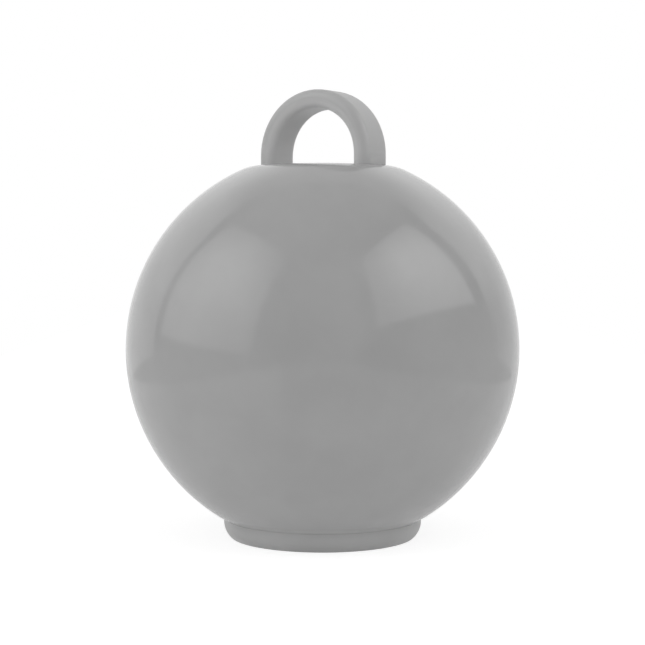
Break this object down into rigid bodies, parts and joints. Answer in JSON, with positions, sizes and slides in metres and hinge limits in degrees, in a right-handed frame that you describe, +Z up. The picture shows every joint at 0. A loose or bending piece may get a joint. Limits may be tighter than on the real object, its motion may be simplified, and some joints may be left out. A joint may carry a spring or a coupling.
{
  "type": "balloon weight",
  "caption": "Round hollow balloon weight with a strap loop on its flat crown and a pressed-in foot that closes the sand-filled body.",
  "frame": {"origin": "centre of the foot's flat resting face", "axes": "+Z up through the loop, and the loop's hole runs along Y, so its two legs stand at -X and +X"},
  "size_m": [0.045, 0.045, 0.0511],
  "materials": {
    "grey_shell": "gloss",
    "grey_plug": "satin",
    "sand": "matte"
  },
  "bodies": {
    "root": {"ball_shell": "grey_shell", "base_plug": "grey_plug", "sand_filling": "sand"}
  },
  "joints": []
}
